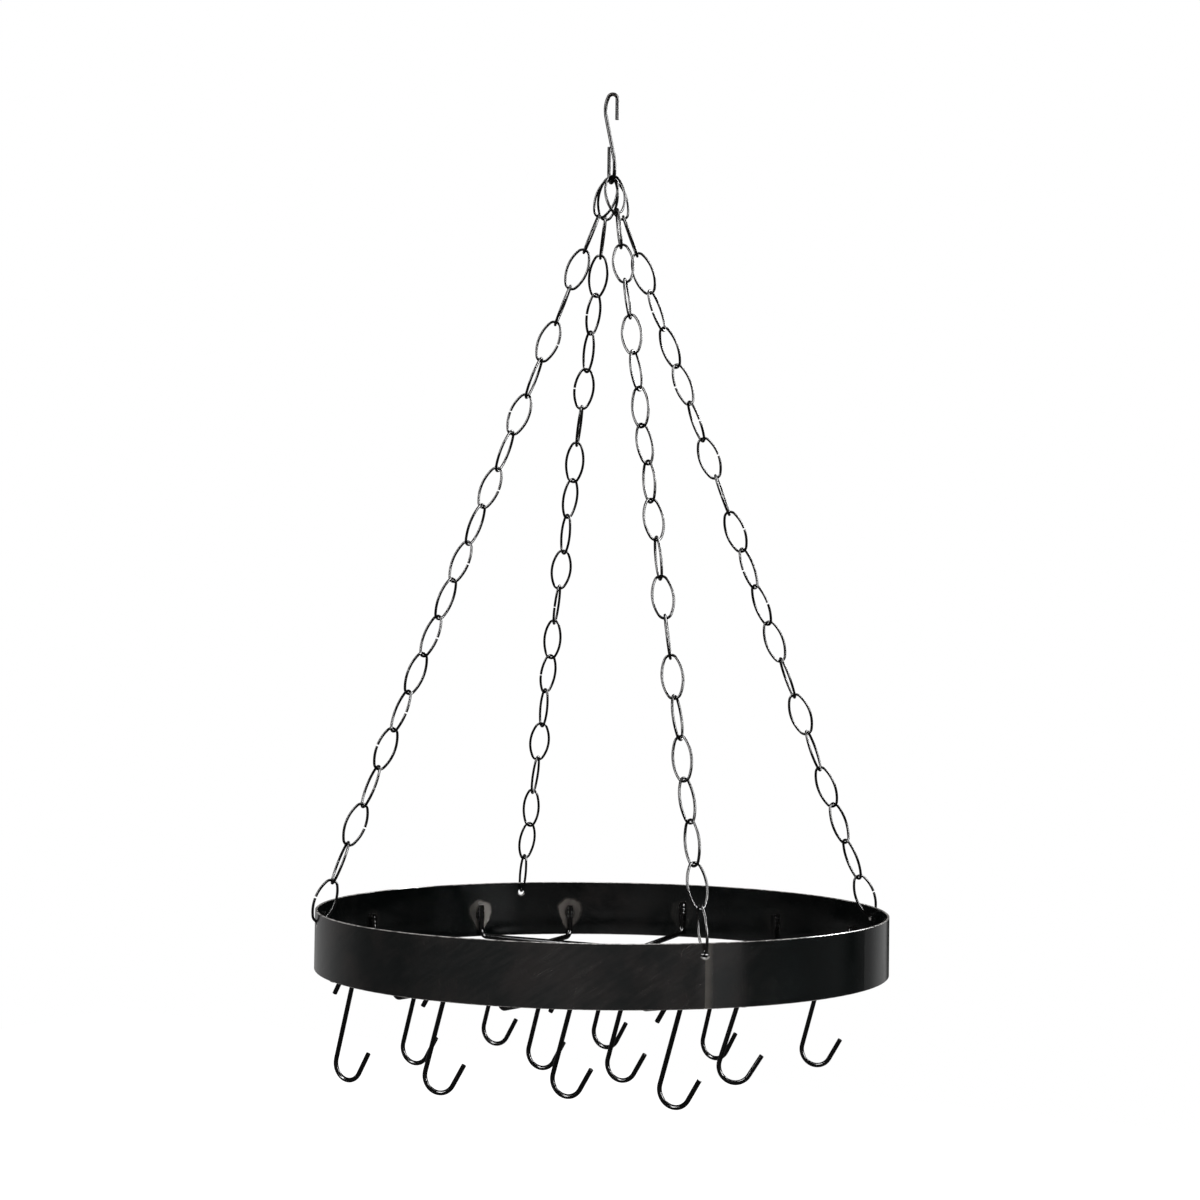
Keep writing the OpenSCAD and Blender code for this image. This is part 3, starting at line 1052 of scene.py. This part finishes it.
stops = panels.color_ramp.elements
stops[0].position, stops[0].color = 0, (*[PANELS[0][1]] * 3, 1)
stops[1].position, stops[1].color = 1, (*[PANELS[-1][1]] * 3, 1)
for degrees, level in PANELS[1:-1]:
    stops.new((degrees + 180) / 360).color = (level, level, level, 1)
height = add_node(tree, "ShaderNodeSeparateXYZ", _0=direction)
slope = add_node(tree, "ShaderNodeMath", {"operation": "ABSOLUTE"}, _0=height.outputs["Z"])
panel_fade = add_node(
    tree,
    "ShaderNodeMapRange",
    {"interpolation_type": "SMOOTHSTEP"},
    Value=slope.outputs[0],
    From_Min=0.2,
    From_Max=0.45,
    To_Min=1.0,
    To_Max=0.12,
)
gloss_light = add_node(
    tree,
    "ShaderNodeMath",
    {"operation": "MULTIPLY"},
    _0=panels.outputs["Color"],
    _1=panel_fade.outputs["Result"],
)
# Tall strips that only gloss sees: degrees to the right, half width in degrees, the middle and
# half height as shares of straight up, and brightness, where 1 is white. They draw the thin
# streaks on the wires. They show in first reflections only, which keeps their glare off the inside
# of the hoop at the photograph's viewpoint, but not from below.
STRIPS = [(58, 6, 0.42, 0.3, 110), (-58, 6, 0.55, 0.35, 60), (128, 5, 0.5, 0.3, 40)]
bounces = add_node(
    tree,
    "ShaderNodeMath",
    {"operation": "MULTIPLY_ADD"},
    _0=path.outputs["Diffuse Depth"],
    _1=2.0,
    _2=path.outputs["Glossy Depth"],
)
first_bounce = add_node(
    tree, "ShaderNodeMath", {"operation": "LESS_THAN"}, _0=bounces.outputs[0], _1=1.5
)
with_strips = gloss_light.outputs[0]
for degrees, half_width, middle, half_height, level in STRIPS:
    aside = add_node(
        tree,
        "ShaderNodeMath",
        {"operation": "SUBTRACT"},
        _0=bearing.outputs[0],
        _1=math.radians(degrees),
    )
    aside_by = add_node(tree, "ShaderNodeMath", {"operation": "ABSOLUTE"}, _0=aside.outputs[0])
    in_width = add_node(
        tree,
        "ShaderNodeMapRange",
        Value=aside_by.outputs[0],
        From_Min=math.radians(half_width - 2),
        From_Max=math.radians(half_width + 2),
        To_Min=1.0,
        To_Max=0.0,
    )
    rise = add_node(
        tree, "ShaderNodeMath", {"operation": "SUBTRACT"}, _0=height.outputs["Z"], _1=middle
    )
    rise_by = add_node(tree, "ShaderNodeMath", {"operation": "ABSOLUTE"}, _0=rise.outputs[0])
    in_height = add_node(
        tree,
        "ShaderNodeMapRange",
        Value=rise_by.outputs[0],
        From_Min=half_height - 0.06,
        From_Max=half_height,
        To_Min=level,
        To_Max=0.0,
    )
    strip = add_node(
        tree,
        "ShaderNodeMath",
        {"operation": "MULTIPLY"},
        _0=in_width.outputs["Result"],
        _1=in_height.outputs["Result"],
    )
    with_strips = add_node(
        tree,
        "ShaderNodeMath",
        {"operation": "MULTIPLY_ADD"},
        _0=strip.outputs[0],
        _1=first_bounce.outputs[0],
        _2=with_strips,
    ).outputs[0]
room_light = add_node(
    tree,
    "ShaderNodeMix",
    {"data_type": "FLOAT"},
    _0=path.outputs["Is Glossy Ray"],
    _2=ROOM_LEVEL,
    _3=with_strips,
)
seen_light = add_node(
    tree,
    "ShaderNodeMix",
    {"data_type": "FLOAT"},
    _0=path.outputs["Is Camera Ray"],
    _2=room_light.outputs[0],
    _3=1.0,
)
sky = add_node(tree, "ShaderNodeBackground", Color=(1, 1, 1, 1), Strength=seen_light.outputs[0])
add_node(tree, "ShaderNodeOutputWorld", Surface=sky.outputs[0])


def softbox(name, aim_from, width, height, watts):
    """A rectangular lamp that points at the middle of the rack."""
    lamp = bpy.data.objects.new(name, bpy.data.lights.new(name, "AREA"))
    lamp.data.shape = "RECTANGLE"
    lamp.data.size = width
    lamp.data.size_y = height
    lamp.data.energy = watts
    target = (rack_low + rack_high) / 2
    lamp.location = target + aim_from
    lamp.rotation_euler = (-aim_from).to_track_quat("-Z", "Y").to_euler()
    bpy.context.scene.collection.objects.link(lamp)


softbox("top_softbox", 2.2 * to_top - 0.3 * to_back, 1.0, 1.0, 26)
softbox("right_softbox", 1.1 * to_right - 1.1 * to_back + 1.5 * to_top, 0.8, 0.8, 24)
softbox("left_softbox", -1.5 * to_right - 1.0 * to_back + 1.3 * to_top, 0.6, 0.6, 16)
softbox("back_softbox", 1.3 * to_right + 1.4 * to_back + 0.8 * to_top, 1.0, 0.6, 22)

bpy.context.scene.view_settings.view_transform = "Standard"
